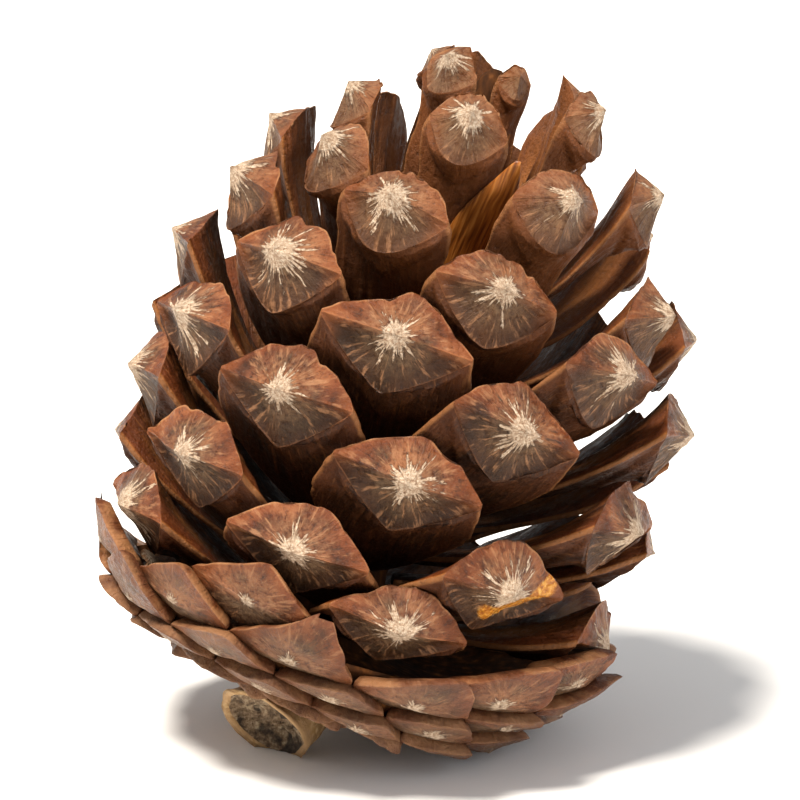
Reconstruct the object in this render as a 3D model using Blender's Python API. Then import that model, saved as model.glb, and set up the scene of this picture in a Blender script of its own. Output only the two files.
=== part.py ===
"""Open cone of a hard pine: a woody core and the open seed scales set round it in a spiral."""

import math

import bmesh
import bpy
from mathutils import Euler, Quaternion, Vector

MM = 0.001

# Spiral of the scales. They are numbered from the stalk up, and each stands one golden angle on.
GOLDEN_ANGLE = 137.508
MID_SCALE = 55
MID_AZIMUTH = -249.6
TIP_SCALE = 94
FIRST_OPEN = 35
LAST_OPEN = 88

# Outline of the cone, in millimetres and degrees, in its own frame with the axis along +Z.
CONE_RADIUS = 27.0
RISE_PER_SCALE = 1.03
BASE_BEND = 27.0
BASE_SOFTNESS = 5.0
BASE_SHRINK = 0.74
DROOP = 3.0
DROOP_FROM = 24
DROOP_OVER = 10.0
FULLER_SIDE = 0.10
LEAN = 18.0
LEAN_TOWARD = 20.0

# One open scale, as shares of its width.
WIDEST = 15.0
FACE_TILT = 38.0
EDGE_THICKNESS = 0.5
ROOT_HALF = Vector((0.0, 0.65))
GAP = 0.35
COLUMNS = 6
ROWS = 6

# Core: axis, tip bud, basal scales grown together, and the broken stalk.
RIM_SCALE = 29
SEGMENTS = 36
STALK_RADIUS = 5.0
STALK_LENGTH = 7.3
STALK_AZIMUTH = -36.0
STALK_SHIFT = 7.0
BREAK_AZIMUTH = -25.0
BREAK_SLOPE = 26.0
FLOOR_BITE = 1.25

# Scales that stand off the spiral: number, degrees further round, millimetres further up.
OFF_SPIRAL = {
    28: (-6.0, 2.0),
    36: (-5.0, 0.0),
    39: (2.0, -1.2),
    44: (-5.0, -1.3),
    47: (2.0, 0.0),
    49: (-1.0, 1.6),
    52: (4.0, -1.6),
    54: (0.0, 1.2),
    57: (-1.5, 1.1),
    59: (-0.5, -0.8),
    62: (0.0, 1.4),
    65: (0.0, 0.2),
    73: (1.0, -2.2),
    78: (-5.0, 1.4),
    80: (-2.0, -2.4), 82: (0.0, -1.5),
    83: (-8.0, 1.0), 85: (0.0, -2.5),
    86: (0.0, 1.4),
}


def round_axis(turn):
    """Unit vector pointing away from the axis, from the front towards the right."""
    return Vector((math.sin(math.radians(turn)), -math.cos(math.radians(turn))))


def azimuth(number):
    """Degrees round the axis, from the front towards the right."""
    turn = MID_AZIMUTH + GOLDEN_ANGLE * (number - MID_SCALE)
    return turn + OFF_SPIRAL.get(number, (0.0, 0.0))[0]


def outline(number):
    """Radius and height of the cone's outside level with a scale number."""
    climb = RISE_PER_SCALE * BASE_SOFTNESS * math.log1p(math.exp((number - BASE_BEND) / BASE_SOFTNESS))
    if number < MID_SCALE:
        radius = 1.0 - BASE_SHRINK * ((MID_SCALE - number) / MID_SCALE) ** 2.2
    else:
        share = min((number - MID_SCALE) / (TIP_SCALE - MID_SCALE), 1.0)
        radius = (1.0 - share ** 2.3) ** 0.85
    return Vector((CONE_RADIUS * radius, climb))


def fullness(turn):
    """How much wider the cone is towards its right."""
    return 1.0 + FULLER_SIDE * max(math.sin(math.radians(turn)), 0.0) ** 1.5


def droop(number, turn):
    """How far the base hangs under its outline, most on its right."""
    share = min(max((DROOP_FROM - number) / DROOP_OVER, 0.0), 1.0)
    eased = share * share * (3.0 - 2.0 * share)
    return DROOP * eased * (0.55 + 0.45 * math.sin(math.radians(turn)))


def boss_place(number):
    """Radius and height of the boss on a scale's end face."""
    turn = azimuth(number)
    place = outline(number)
    lift = OFF_SPIRAL.get(number, (0.0, 0.0))[1] - droop(number, turn)
    return Vector((place.x * fullness(turn), place.y + lift))


def scale_width(number):
    """Width of a scale between the corners of its end face."""
    return max(WIDEST * (outline(number).x / CONE_RADIUS) ** 0.8, 6.0)


def root_height(number):
    """Height at which an open scale leaves the axis."""
    step = number - FIRST_OPEN
    return 5.0 + 0.40 * step + 0.0063 * step ** 2


def opening(number):
    """Degrees above level at which a scale's outer part stands."""
    slope = 1.08 if number > FIRST_OPEN else 2.4
    return 18.0 + slope * (number - FIRST_OPEN)


def axis_radius(height):
    """Radius of the woody axis at a height."""
    return max(2.1, 5.0 - 0.062 * max(height - 4.0, 0.0))


def bezier(a, b, c, d, t):
    """Point on a cubic curve."""
    s = 1.0 - t
    return a * s ** 3 + b * (3 * s * s * t) + c * (3 * s * t * t) + d * t ** 3


def heading(degrees):
    """Unit vector in the upright plane through the axis: x out, y up."""
    return Vector((math.cos(math.radians(degrees)), math.sin(math.radians(degrees))))


class ScaleShape:
    """Points of one scale in the plane through the axis, with its width beside it."""

    def __init__(self, number):
        self.width = scale_width(number)
        tilt = opening(number)
        out = heading(tilt - FACE_TILT)
        up = heading(tilt - FACE_TILT + 90.0)
        self.boss = boss_place(number)
        self.corner = self.boss - out * (0.13 * self.width)
        tall = 1.0 + 0.3 * min(max((number - 74) / 12.0, 0.0), 1.0)
        self.lip = self.boss - out * (0.21 * self.width) + up * (0.27 * self.width * tall)
        self.heel = self.boss - out * (0.26 * self.width) - up * (0.38 * self.width * tall)
        root = root_height(number)
        start = axis_radius(root) + GAP
        self.root = Vector((start, root))
        self.leave = tilt * 0.35
        self.arrive = tilt + 4.0

    def upper(self, t):
        """Middle line of the upper face, from the axis to the lip."""
        growth = 0.30 * t + 0.70 * t ** 4
        return self.edge(t) + (self.lip - self.corner) * growth + ROOT_HALF * (1.0 - growth)

    def lower(self, t):
        """Ridge of the lower face: close under the blade, then down to the heel of its thick end."""
        growth = 0.22 * t ** 1.5 + 0.78 * t ** 9
        return self.edge(t) + (self.heel - self.corner) * growth - ROOT_HALF * (1.0 - growth)

    def half_width(self, t):
        """Half of the scale's width, from its narrow root to its corners."""
        swell = math.sin(math.pi * 0.5 * min(t / 0.86, 1.0)) ** 1.6
        return 1.5 + (0.5 * self.width - 1.5) * swell

    def edge(self, t):
        """Side edge, from the axis to the corner of the end face."""
        reach = (self.corner - self.root).length * 0.36
        first = self.root + heading(self.leave) * reach
        last = self.corner - heading(self.arrive) * reach
        return bezier(self.root, first, last, self.corner, t)


def scale_mesh(number):
    """Closed solid of one scale, with its radius along +X and the cone's axis along +Z."""
    shape = ScaleShape(number)
    half_edge = Vector((0.0, EDGE_THICKNESS * 0.5))
    bm = bmesh.new()

    def place(point, side):
        return bm.verts.new((point.x * MM, side * MM, point.y * MM))

    upper = []
    lower = []
    for row in range(ROWS + 1):
        t = 1.0 - (1.0 - row / ROWS) ** 1.5
        half = shape.half_width(t)
        upper.append([])
        lower.append([])
        for column in range(COLUMNS + 1):
            s = 2.0 * column / COLUMNS - 1.0
            bow = abs(s) ** 1.8
            tent = abs(s) ** 1.15
            top = shape.upper(t).lerp(shape.edge(t) + half_edge, bow)
            low = shape.lower(t).lerp(shape.edge(t) - half_edge, tent)
            upper[row].append(place(top, s * half))
            lower[row].append(place(low, s * half))

    keel = []
    for column in range(1, COLUMNS):
        s = 2.0 * column / COLUMNS - 1.0
        crest = shape.boss.lerp(shape.corner, abs(s) ** 1.2)
        keel.append(place(crest, s * shape.half_width(1.0)))

    for row in range(ROWS):
        for column in range(COLUMNS):
            a, b = upper[row][column], upper[row][column + 1]
            c, d = upper[row + 1][column + 1], upper[row + 1][column]
            bm.faces.new((d, c, b, a))
            a, b = lower[row][column], lower[row][column + 1]
            c, d = lower[row + 1][column + 1], lower[row + 1][column]
            bm.faces.new((a, b, c, d))
        for column in (0, COLUMNS):
            ring = (upper[row][column], upper[row + 1][column], lower[row + 1][column], lower[row][column])
            bm.faces.new(ring if column == 0 else ring[::-1])
    for column in range(COLUMNS):
        bm.faces.new((upper[0][column], upper[0][column + 1], lower[0][column + 1], lower[0][column]))

    lip, heel = upper[ROWS], lower[ROWS]
    for column in range(COLUMNS):
        left = keel[column - 1] if column > 0 else None
        right = keel[column] if column < COLUMNS - 1 else None
        if left is None:
            bm.faces.new((lip[0], lip[1], right))
            bm.faces.new((lip[0], right, heel[0]))
            bm.faces.new((heel[0], right, heel[1]))
        elif right is None:
            bm.faces.new((lip[column], lip[column + 1], left))
            bm.faces.new((lip[column + 1], heel[column + 1], left))
            bm.faces.new((heel[column + 1], heel[column], left))
        else:
            bm.faces.new((lip[column], lip[column + 1], right, left))
            bm.faces.new((left, right, heel[column + 1], heel[column]))

    bmesh.ops.recalc_face_normals(bm, faces=bm.faces)
    mesh = bpy.data.meshes.new("scale_%02d" % number)
    bm.to_mesh(mesh)
    bm.free()
    return mesh


def basal_relief(point, turn):
    """Swelling of the grown-together basal scales at a point of the base, in millimetres."""
    best = 0.0
    for number in range(2, FIRST_OPEN):
        boss = boss_place(number)
        swing = math.radians((azimuth(number) - turn + 180.0) % 360.0 - 180.0)
        across = boss.x * swing
        along = (point - boss).length
        reach = 0.45 * scale_width(number)
        best = max(best, 1.0 - (across / reach) ** 2 - (along / (0.8 * reach)) ** 2)
    return 0.9 * best


def core_profile():
    """Rings of the core from the stalk's broken end to the tip.

    Each is a radius, a height, its share of the relief, and the basal scale it is level with.
    """
    rings = []
    for radius, depth in ((0.9, 0.2), (2.6, 1.3), (4.1, 0.9), (STALK_RADIUS, 0.0)):
        rings.append((radius, depth - STALK_LENGTH, 0.0, None))
    rings.append((STALK_RADIUS * 1.02, -0.8 * STALK_LENGTH, 0.0, None))
    rings.append((STALK_RADIUS * 1.15, -1.6, 0.0, 0))
    for number in range(2, RIM_SCALE + 1, 3):
        place = outline(number)
        rings.append((place.x - 0.2, place.y - 0.2, 1.0, number))
    rim = outline(RIM_SCALE)
    rings.append((rim.x - 0.9, rim.y + 0.7, 0.3, None))
    for radius, height in ((20.2, 3.4), (17.0, 2.0), (12.0, 1.4), (8.0, 1.8)):
        rings.append((radius, height, 0.0, None))
    for height in (3.4, 8.0, 16.0, 24.0, 32.0, 40.0, 48.0):
        rings.append((axis_radius(height), height, 0.0, None))
    for radius, height in ((2.1, 53.0), (2.7, 58.0), (2.9, 61.5), (2.2, 64.0), (0.9, 65.0)):
        rings.append((radius, height, 0.0, None))
    return rings


def core_mesh(up):
    """Closed solid of the core, cut flat where it stands, and the height of that cut along up."""
    bm = bmesh.new()
    loops = []
    lowest = 0.0
    bent = round_axis(STALK_AZIMUTH)
    facing = round_axis(BREAK_AZIMUTH) * math.tan(math.radians(BREAK_SLOPE))
    for radius, height, share, number in core_profile():
        below = max(-height / STALK_LENGTH, 0.0)
        loop = []
        for step in range(SEGMENTS):
            turn = 360.0 * step / SEGMENTS
            ray = round_axis(turn)
            reach = radius
            lift = height
            if number is not None:
                lift -= droop(number, turn)
            if share > 0.0:
                reach *= fullness(turn)
                relief = basal_relief(Vector((reach, lift)), turn) * share
                reach += 0.45 * relief
                lift -= 0.9 * relief
            spot = ray * reach + bent * (STALK_SHIFT * below ** 1.5)
            slant = (ray * reach).dot(facing) * below ** 2
            corner = Vector((spot.x, spot.y, lift + slant))
            if share > 0.0:
                lowest = min(lowest, up.dot(corner))
            loop.append(bm.verts.new(corner * MM))
        loops.append(loop)
    floor_height = lowest + FLOOR_BITE
    for low, high in zip(loops, loops[1:]):
        for step in range(SEGMENTS):
            after = (step + 1) % SEGMENTS
            bm.faces.new((low[step], low[after], high[after], high[step]))
    bm.faces.new(loops[0])
    bm.faces.new(loops[-1])
    bmesh.ops.recalc_face_normals(bm, faces=bm.faces)
    cut = bmesh.ops.bisect_plane(
        bm,
        geom=bm.verts[:] + bm.edges[:] + bm.faces[:],
        plane_co=up * (floor_height * MM),
        plane_no=up,
        clear_inner=True,
    )
    rim = [item for item in cut["geom_cut"] if isinstance(item, bmesh.types.BMEdge)]
    bmesh.ops.holes_fill(bm, edges=rim, sides=0)
    bmesh.ops.recalc_face_normals(bm, faces=bm.faces)
    mesh = bpy.data.meshes.new("core")
    bm.to_mesh(mesh)
    bm.free()
    return mesh, floor_height


def wood(name, colour, roughness):
    """Plain wood-like material."""
    material = bpy.data.materials.new(name)
    material.use_nodes = True
    shader = material.node_tree.nodes["Principled BSDF"]
    shader.inputs["Base Color"].default_value = (*colour, 1.0)
    shader.inputs["Roughness"].default_value = roughness
    shader.inputs["Metallic"].default_value = 0.0
    return material


def add_piece(name, mesh, material, parent):
    """Object for one piece, smooth where its faces meet softly."""
    piece = bpy.data.objects.new(name, mesh)
    bpy.context.scene.collection.objects.link(piece)
    mesh.materials.append(material)
    mesh.shade_smooth()
    mesh.set_sharp_from_angle(angle=math.radians(40.0))
    piece.parent = parent
    return piece


def clear_scene():
    """Remove what the file opened with."""
    for item in list(bpy.data.objects):
        bpy.data.objects.remove(item, do_unlink=True)


def build():
    """Build the cone leaning on its stalk and its basal scales."""
    clear_scene()
    toward = math.radians(LEAN_TOWARD)
    lean = Quaternion((-math.sin(toward), math.cos(toward), 0.0), math.radians(LEAN))
    solid, floor_height = core_mesh(lean.inverted() @ Vector((0.0, 0.0, 1.0)))

    cone = bpy.data.objects.new("cone", None)
    bpy.context.scene.collection.objects.link(cone)
    cone.rotation_mode = "QUATERNION"
    cone.rotation_quaternion = lean
    core_wood = wood("core_wood", (0.16, 0.085, 0.05), 0.8)
    scale_wood = wood("scale_wood", (0.21, 0.085, 0.04), 0.6)
    add_piece("core", solid, core_wood, cone)
    for number in range(FIRST_OPEN, LAST_OPEN + 1):
        piece = add_piece("scale_%02d" % number, scale_mesh(number), scale_wood, cone)
        piece.rotation_euler = Euler((0.0, 0.0, math.radians(azimuth(number) - 90.0)))

    bpy.context.view_layer.update()
    corners = []
    for piece in cone.children:
        turn = piece.matrix_world
        corners += [turn @ vertex.co for vertex in piece.data.vertices]
    middle_x = (min(c.x for c in corners) + max(c.x for c in corners)) / 2
    middle_y = (min(c.y for c in corners) + max(c.y for c in corners)) / 2
    cone.location = (-middle_x, -middle_y, -floor_height * MM)
    bpy.context.view_layer.update()


build()
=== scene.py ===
import math

import bmesh
import bpy
import numpy as np
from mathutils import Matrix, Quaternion, Vector


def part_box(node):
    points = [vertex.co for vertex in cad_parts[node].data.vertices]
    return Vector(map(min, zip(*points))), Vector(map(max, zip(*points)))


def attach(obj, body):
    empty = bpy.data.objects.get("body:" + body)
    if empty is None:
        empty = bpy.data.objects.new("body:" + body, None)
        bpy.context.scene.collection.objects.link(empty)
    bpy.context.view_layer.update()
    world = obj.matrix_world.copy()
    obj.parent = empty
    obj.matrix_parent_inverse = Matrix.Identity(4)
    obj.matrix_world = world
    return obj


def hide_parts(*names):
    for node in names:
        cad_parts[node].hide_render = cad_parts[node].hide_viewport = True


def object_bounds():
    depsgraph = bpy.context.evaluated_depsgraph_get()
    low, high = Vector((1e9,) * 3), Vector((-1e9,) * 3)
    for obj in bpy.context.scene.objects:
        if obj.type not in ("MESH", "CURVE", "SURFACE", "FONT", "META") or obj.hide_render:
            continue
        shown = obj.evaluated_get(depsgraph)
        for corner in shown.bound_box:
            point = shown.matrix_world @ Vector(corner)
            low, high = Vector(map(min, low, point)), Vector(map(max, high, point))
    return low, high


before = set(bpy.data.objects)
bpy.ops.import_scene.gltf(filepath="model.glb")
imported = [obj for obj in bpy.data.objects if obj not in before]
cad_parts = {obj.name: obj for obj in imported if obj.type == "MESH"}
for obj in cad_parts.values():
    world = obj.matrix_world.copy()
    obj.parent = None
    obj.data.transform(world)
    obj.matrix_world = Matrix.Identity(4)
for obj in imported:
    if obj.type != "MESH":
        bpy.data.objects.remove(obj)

cad_low, cad_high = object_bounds()


# ---------------------------------------------------------------------------------------------
# Woody axis. The cone grows round a tapering spindle of hard wood that carries every scale.
# At its foot it flares into a shallow bowl, the grown-together roots of the lowest scales.
# ---------------------------------------------------------------------------------------------

MM = 0.001
LEAN = 18.0              # degrees off upright
LEAN_TOWARD = 20.0       # degrees back from the right-hand side
CONE_RADIUS = 27.0       # widest half-width of the open cone
RISE = 1.03              # height gained from one scale to the next
MID_SCALE = 55           # the scale at the widest level, counted up from the stalk
TIP_SCALE = 94
STALK_RADIUS = 5.0

toward = math.radians(LEAN_TOWARD)
lean = Quaternion((-math.sin(toward), math.cos(toward), 0.0), math.radians(LEAN))
lean_matrix = np.array(lean.to_matrix())
core_low, core_high = (np.array(corner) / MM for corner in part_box("core"))
foot = np.array((core_low[0] + 21.2327, core_low[1] + 22.6265, core_high[2] - 62.0968))


def linear(code, alpha=1.0):
    """sRGB hex to the linear colour a shader wants."""
    parts = [int(code[k:k + 2], 16) / 255 for k in (1, 3, 5)]
    return (*[c / 12.92 if c < 0.04045 else ((c + 0.055) / 1.055) ** 2.4 for c in parts], alpha)


def lumps(points, size, seed=0):
    """Smooth random field from -1 to 1 with features of a given size, the same every run."""
    q = np.asarray(points, float) / size + 37.0 + seed * 5.37
    cell = np.floor(q).astype(np.int64)
    f = q - cell
    f = f * f * (3.0 - 2.0 * f)
    total = np.zeros(q.shape[:-1])
    for corner in range(8):
        step = np.array([(corner >> k) & 1 for k in range(3)])
        at = cell + step
        stirred = at[..., 0] * 73856093 ^ at[..., 1] * 19349663 ^ at[..., 2] * 83492791
        stirred = stirred ^ (seed * 2654435 + 97)
        stirred = (stirred ^ (stirred >> 13)) * 1274126177 & 0x7FFFFFFF
        value = ((stirred ^ (stirred >> 16)) & 0xFFFF) / 32767.5 - 1.0
        total += value * np.prod(np.where(step, f, 1.0 - f), axis=-1)
    return total


def outline(number):
    """Radius and height of the cone's outside level with a scale number."""
    number = np.asarray(number, float)
    height = RISE * 5.0 * np.log1p(np.exp((number - 27.0) / 5.0))
    below = np.clip((MID_SCALE - number) / MID_SCALE, 0.0, 1.0)
    above = np.clip((number - MID_SCALE) / (TIP_SCALE - MID_SCALE), 0.0, 1.0)
    radius = np.where(number < MID_SCALE, 1.0 - 0.74 * below ** 2.2, (1.0 - above ** 2.3) ** 0.85)
    return CONE_RADIUS * radius, height


def fullness(turn):
    """How much wider the cone is towards its right."""
    return 1.0 + 0.10 * np.clip(np.sin(np.radians(turn)), 0.0, 1.0) ** 1.5


def droop(number, turn):
    """How far the base hangs under its outline, most on its right."""
    share = np.clip((24.0 - number) / 10.0, 0.0, 1.0)
    return 3.0 * share * share * (3.0 - 2.0 * share) * (0.55 + 0.45 * np.sin(np.radians(turn)))


def axis_radius(height):
    """Radius of the woody axis at a height."""
    return np.maximum(2.1, 5.0 - 0.062 * np.maximum(height - 4.0, 0.0))


def stand(points):
    """Points of the upright cone, in millimetres, put where the leaning cone stands, in metres."""
    placed = (np.asarray(points, float) @ lean_matrix.T + foot) * MM
    inside = 0.00002
    return np.clip(placed, np.array(cad_low) + inside, np.array(cad_high) - inside)


def tube_faces(rings, sides):
    """Quads between rings of points, and a cap on the first and on the last ring."""
    faces = []
    for base in range(0, (rings - 1) * sides, sides):
        for k in range(sides):
            after = (k + 1) % sides
            faces.append((base + k, base + after, base + sides + after, base + sides + k))
    faces.append(tuple(range(sides)))
    faces.append(tuple(range((rings - 1) * sides, rings * sides)))
    return faces


def make_piece(name, points, faces, materials, kinds=None, fields=None, stands_for="core"):
    """One closed piece of the cone, with what its materials read kept on its points."""
    mesh = bpy.data.meshes.new(name)
    mesh.from_pydata(stand(points).tolist(), [], faces)
    for material in materials:
        mesh.materials.append(material)
    if kinds is not None:
        mesh.polygons.foreach_set("material_index", np.asarray(kinds, np.int32))
    for field, values in (fields or {}).items():
        values = np.asarray(values, np.float32)
        kind = "FLOAT_VECTOR" if values.ndim == 2 else "FLOAT"
        layer = mesh.attributes.new(field, kind, "POINT")
        layer.data.foreach_set("vector" if values.ndim == 2 else "value", values.ravel())
    shell = bmesh.new()
    shell.from_mesh(mesh)
    bmesh.ops.recalc_face_normals(shell, faces=shell.faces)
    shell.to_mesh(mesh)
    shell.free()
    mesh.shade_smooth()
    piece = bpy.data.objects.new(name, mesh)
    bpy.context.scene.collection.objects.link(piece)
    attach(piece, "root")
    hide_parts(stands_for)
    return piece


def add(tree, kind, inputs=None, stops=None, **settings):
    """One node with its settings. An input is a value, or the output of another node."""
    made = tree.nodes.new("ShaderNode" + kind)
    for setting, value in settings.items():
        setattr(made, setting, value)
    for place, colour in stops or ():
        ends = made.color_ramp.elements
        new = place not in (stops[0][0], stops[-1][0])
        stop = ends.new(place) if new else ends[0 if place == stops[0][0] else -1]
        stop.position = place
        stop.color = linear(colour)
    for socket, value in (inputs or {}).items():
        if isinstance(value, bpy.types.NodeSocket):
            tree.links.new(value, made.inputs[socket])
        else:
            made.inputs[socket].default_value = value
    return made


def new_material(name):
    """An empty node material and its shader."""
    material = bpy.data.materials.new(name)
    material.use_nodes = True
    return material, material.node_tree, material.node_tree.nodes["Principled BSDF"]


# Pine heartwood of the axis, weathered dry: dull brown, with short broken fibres along it.
axis_wood, tree, shader = new_material("axis_wood_dry_fibre")
place = add(tree, "TexCoord").outputs["Object"]
long_way = add(tree, "Mapping", {"Vector": place, "Scale": (900.0, 900.0, 160.0)}).outputs[0]
fibre = add(tree, "TexNoise", {"Vector": long_way, "Scale": 1.0, "Detail": 5.0}).outputs[0]
tone = add(tree, "ValToRGB", {0: fibre}, stops=((0.3, "#1b0f07"), (0.55, "#44260f"), (0.75, "#744620")))
tree.links.new(tone.outputs[0], shader.inputs["Base Color"])
shader.inputs["Roughness"].default_value = 0.8
shader.inputs["Specular IOR Level"].default_value = 0.1
dent = add(tree, "Bump", {"Height": fibre, "Distance": 0.0003, "Strength": 0.8})
tree.links.new(dent.outputs[0], shader.inputs["Normal"])

ROUND = 72               # points round the axis and the stalk

# Rings of the axis: the bowl's outside from the bottom up, its hollow, the spindle and its tip.
rings = []
for number in np.linspace(3.0, 29.0, 22):
    radius, height = outline(number)
    rings.append((radius - 1.5, height + 0.7, number))
rings += [(21.0, 4.4, None), (19.0, 3.2, None), (16.0, 2.4, None), (12.0, 2.0, None), (8.5, 2.4, None)]
for height in np.linspace(3.2, 52.0, 60):
    rings.append((axis_radius(height) - 0.25, height, None))
rings += [(1.7, 56.0, None), (1.9, 59.0, None), (1.3, 61.5, None), (0.5, 62.5, None)]
turns = np.arange(ROUND) * 360.0 / ROUND
rays = np.stack((np.sin(np.radians(turns)), -np.cos(np.radians(turns))), axis=1)
points = []
for radius, height, number in rings:
    wider = fullness(turns) if number is not None else np.ones(ROUND)
    lower = droop(number, turns) if number is not None else np.zeros(ROUND)
    ring = np.column_stack((rays * (radius * wider)[:, None], np.broadcast_to(height - lower, ROUND)))
    wear = 0.25 * lumps(ring, 1.6, 3) + 0.15 * lumps(ring * (1.0, 1.0, 0.3), 0.7, 4)
    ring[:, :2] += rays * wear[:, None]
    points.append(ring)
make_piece("woody_axis", np.concatenate(points), tube_faces(len(rings), ROUND), [axis_wood])


# ---------------------------------------------------------------------------------------------
# Stalk. The stub that held the cone to its twig: a round woody core inside thin ochre bark.
# It tore off at a slant, which leaves a rough fibrous hollow with the bark as its rim.
# ---------------------------------------------------------------------------------------------

STALK_LENGTH = 5.9
STALK_SHIFT = 7.4        # how far it bends aside
STALK_AZIMUTH = -28.0
BREAK_AZIMUTH = -25.0    # the way the torn end faces
BREAK_SLOPE = 38.0
BARK = 0.9               # thickness of the bark rim


def lay_coats(tree, hue, coats):
    """Coats of colour laid one over another.

    Each coat follows a value: it starts to show where the value passes the first number, is full
    at the second, and is as strong as the third says. A fourth entry may hold it back further.
    """
    for value, start, end, strength, held_by, colour in coats:
        inputs = {"Value": value, "From Min": start, "From Max": end, "To Max": strength}
        share = add(tree, "MapRange", inputs, interpolation_type="SMOOTHSTEP").outputs[0]
        if held_by is not None:
            share = add(tree, "Math", {0: share, 1: held_by}, operation="MULTIPLY").outputs[0]
        colour = linear(colour) if isinstance(colour, str) else colour
        hue = add(tree, "Mix", {0: share, 6: hue, 7: colour}, data_type="RGBA").outputs[2]
    return hue


# Young pine bark: ochre and straw, scaly, quite matt.
stalk_bark, tree, shader = new_material("young_bark_ochre")
place = add(tree, "TexCoord").outputs["Object"]
scales = {"Vector": place, "Scale": 900.0, "Detail": 6.0, "Roughness": 0.65}
flakes = add(tree, "TexNoise", scales).outputs[0]
broad = add(tree, "TexNoise", {"Vector": place, "Scale": 260.0, "Detail": 2.0}).outputs[0]
ochre = add(tree, "ValToRGB", {0: flakes}, stops=((0.3, "#6b4b2b"), (0.5, "#a5804f"), (0.72, "#d6bd92")))
hue = lay_coats(tree, ochre.outputs[0], [(broad, 0.45, 0.65, 1.0, None, "#a8845a")])
tree.links.new(hue, shader.inputs["Base Color"])
shader.inputs["Roughness"].default_value = 0.75
dent = add(tree, "Bump", {"Height": flakes, "Distance": 0.0004, "Strength": 0.9})
tree.links.new(dent.outputs[0], shader.inputs["Normal"])

# Torn pith and wood: grey-brown fibre with dark holes, like felt.
torn_wood, tree, shader = new_material("torn_wood_fibre")
place = add(tree, "TexCoord").outputs["Object"]
fuzz = {"Vector": place, "Scale": 1300.0, "Detail": 7.0, "Roughness": 0.7}
felt = add(tree, "TexNoise", fuzz).outputs[0]
holes = add(tree, "TexNoise", {"Vector": place, "Scale": 420.0, "Detail": 3.0}).outputs[0]
grey = add(tree, "ValToRGB", {0: felt}, stops=((0.34, "#2a1d14"), (0.5, "#8a7054"), (0.68, "#cbb694")))
hue = lay_coats(tree, grey.outputs[0], [(holes, 0.5, 0.38, 0.85, None, "#1d1511")])
tree.links.new(hue, shader.inputs["Base Color"])
shader.inputs["Roughness"].default_value = 0.9
dent = add(tree, "Bump", {"Height": felt, "Distance": 0.0006, "Strength": 1.0})
tree.links.new(dent.outputs[0], shader.inputs["Normal"])

bend = math.radians(STALK_AZIMUTH)
bent = np.array((math.sin(bend), -math.cos(bend)))
brk = math.radians(BREAK_AZIMUTH)
facing = np.array((math.sin(brk), -math.cos(brk))) * math.tan(math.radians(BREAK_SLOPE))

# Rings of the stalk, as radius and height: it narrows from its top to the bark rim, then the
# torn end goes in from the rim to the middle.
profile = [(0.6, 1.2)]
for depth in np.linspace(0.0, STALK_LENGTH - 0.3, 26):
    profile.append((STALK_RADIUS * (1.25 - 0.3 * min(depth / 2.4, 1.0)), -depth))
profile += [(STALK_RADIUS - 0.15, -STALK_LENGTH), (STALK_RADIUS - BARK, -STALK_LENGTH + 0.15)]
side_rings = len(profile)
profile += [(r, -STALK_LENGTH + 0.3 + 0.7 * math.sin(r * 0.8)) for r in np.linspace(3.9, 0.25, 18)]
points = []
for row, (radius, height) in enumerate(profile):
    below = max(-height / STALK_LENGTH, 0.0)
    at = np.column_stack((rays * radius, np.full(ROUND, height)))
    if row >= side_rings:
        tufts = at * (1.0, 1.0, 0.2)
        at[:, 2] += 0.55 * lumps(tufts, 0.9, 11) + 0.3 * lumps(tufts, 0.45, 12)
    else:
        wear = 0.22 * lumps(at * (1.0, 1.0, 0.5), 1.5, 13) + 0.12 * lumps(at, 0.6, 14)
        at[:, :2] += rays * wear[:, None]
    at[:, 2] += (at[:, :2] @ facing) * below ** 2
    at[:, :2] += bent * (STALK_SHIFT * below ** 1.5)
    points.append(at)
kinds = [0] * ((side_rings - 1) * ROUND) + [1] * ((len(profile) - side_rings) * ROUND) + [0, 1]
faces = tube_faces(len(profile), ROUND)
make_piece("stalk", np.concatenate(points), faces, [stalk_bark, torn_wood], kinds)


# ---------------------------------------------------------------------------------------------
# Lowest scales. Woody plates that never opened: they lie on the bowl like tiles, each leaning
# out over the next, with narrow dark seams. Their outer faces are all that is seen of them.
# ---------------------------------------------------------------------------------------------

GOLDEN_ANGLE = 137.508
MID_AZIMUTH = -249.6
EIGHT_ON = GOLDEN_ANGLE * 8 - 3 * 360.0        # degrees to a scale's two nearest neighbours,
THIRTEEN_ON = GOLDEN_ANGLE * 13 - 5 * 360.0    # the 8th and the 13th one further up
FIRST_OPEN = 35

TILES = 72
TILE_START, TILE_STEP = 1.0, 0.4865  # the tiles' spiral, counted in numbers of open scales
TILE_AZIMUTH = -149.6
TILE_COVER = 1.06          # a tile's size against its cell, over 1 where its lip covers the next
TILE_DEPTH = 1.7
TILE_LIFT = 1.25           # how far a tile's lip stands out over its foot
TILE_SUNK = 0.6            # how far the flattest tiles are sunk into the outline
SQUARENESS = 9.0           # 2 is an oval tile, 9 one with full corners
RIM_POINTS, RIM_RINGS = 56, 11
END_HALF_TURN = 17.0       # degrees to each side that a low open scale's end covers
STALK_RIM = -1.9           # the level, in numbers of scales, where the tiles end at the stalk

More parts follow.
